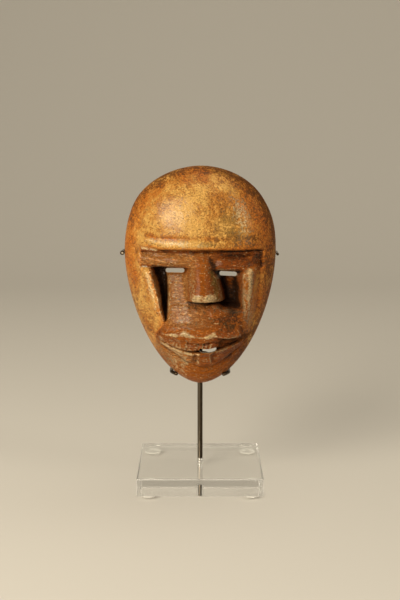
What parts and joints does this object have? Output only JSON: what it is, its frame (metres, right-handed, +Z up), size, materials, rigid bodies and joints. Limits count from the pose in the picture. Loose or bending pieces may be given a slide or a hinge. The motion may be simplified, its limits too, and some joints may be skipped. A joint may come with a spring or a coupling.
{
  "type": "miniature mask on stand",
  "caption": "Small carved wooden face mask with a domed forehead, slit eyes and open mouth, held by wire prongs on a steel rod in a clear acrylic block.",
  "frame": {"origin": "on the floor, under the centre of the acrylic block", "axes": "+Z up; the mask faces -Y; +X is to the right of a viewer who faces it"},
  "size_m": [0.0888, 0.07, 0.1822],
  "materials": {
    "carved_wood": "hand-rubbed honey-brown patina, glossy on the forehead and dark in the recesses",
    "rod_steel": "dark waxed steel",
    "upper_wire_steel": "dark waxed steel wire",
    "lower_wire_steel": "dark waxed steel wire",
    "block_acrylic": "clear polished acrylic",
    "clear_pad": "clear soft bumper"
  },
  "bodies": {
    "root": {"mask": "carved_wood", "stand_rod": "rod_steel", "upper_clip_wire": "upper_wire_steel", "lower_clip_wire": "lower_wire_steel", "acrylic_block": "block_acrylic", "pad_front_left": "clear_pad", "pad_front_right": "clear_pad", "pad_back_left": "clear_pad", "pad_back_right": "clear_pad"}
  },
  "joints": []
}
